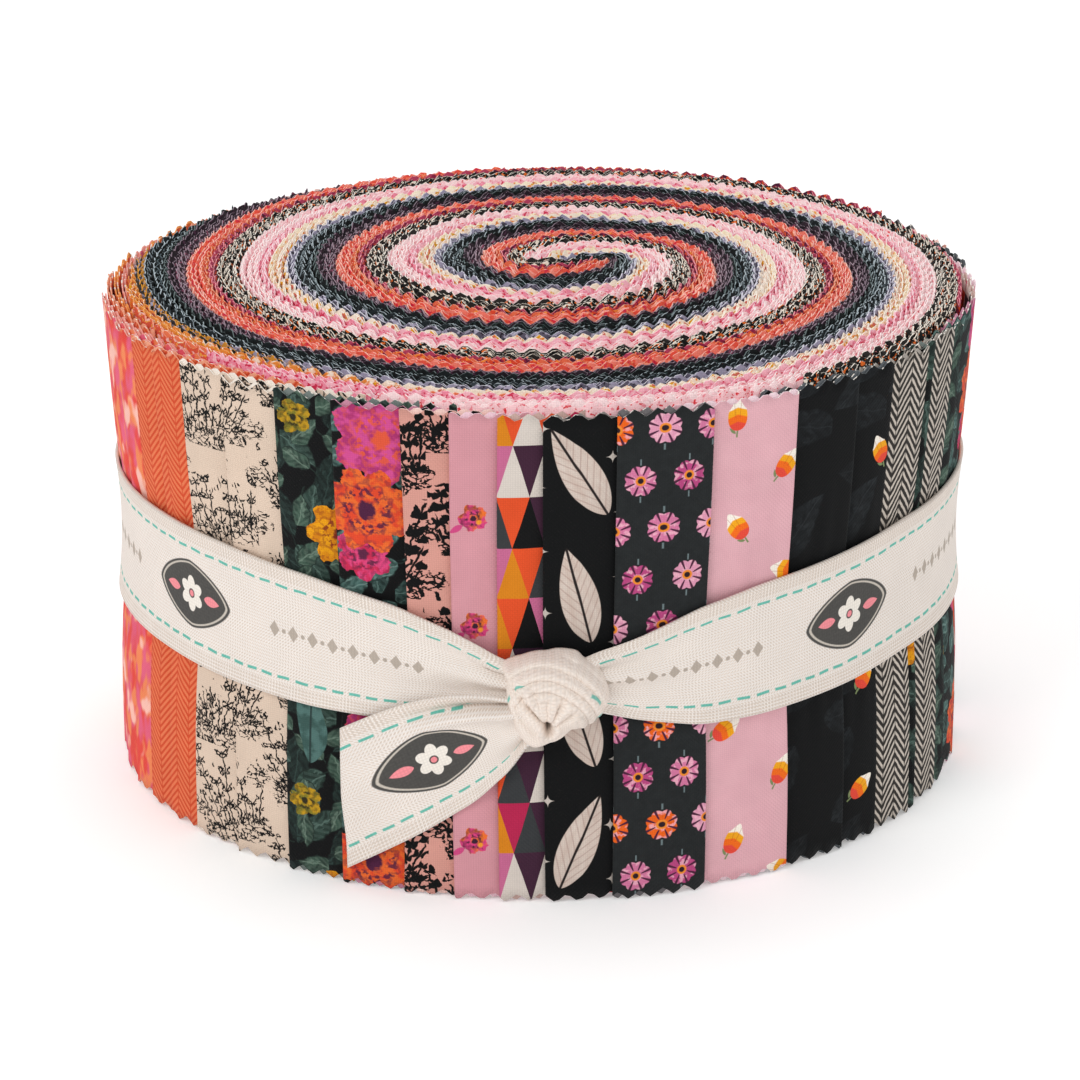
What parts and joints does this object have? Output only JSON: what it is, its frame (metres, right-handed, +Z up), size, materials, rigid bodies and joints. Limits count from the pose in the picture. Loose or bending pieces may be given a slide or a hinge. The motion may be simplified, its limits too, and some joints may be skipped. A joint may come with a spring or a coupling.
{
  "type": "roll of quilting fabric strips",
  "caption": "Standing roll of pinked-edge cotton quilting strips, folded, stacked and wound into one spiral, tied round the middle with a flat ribbon.",
  "frame": {"origin": "middle of the roll's base, on its axis", "axes": "+Z up along the roll's axis, -Y towards the ribbon's knot, +X to the right of the knot seen from the front"},
  "size_m": [0.1131, 0.1183, 0.0635],
  "materials": {
    "printed_cotton": "plain-woven quilting cotton, printed, pinked edges",
    "twill_ribbon": "natural cotton herringbone twill ribbon with two rows of teal stitches"
  },
  "bodies": {
    "root": {"strip_roll": "printed_cotton", "ribbon": "twill_ribbon"}
  },
  "joints": []
}
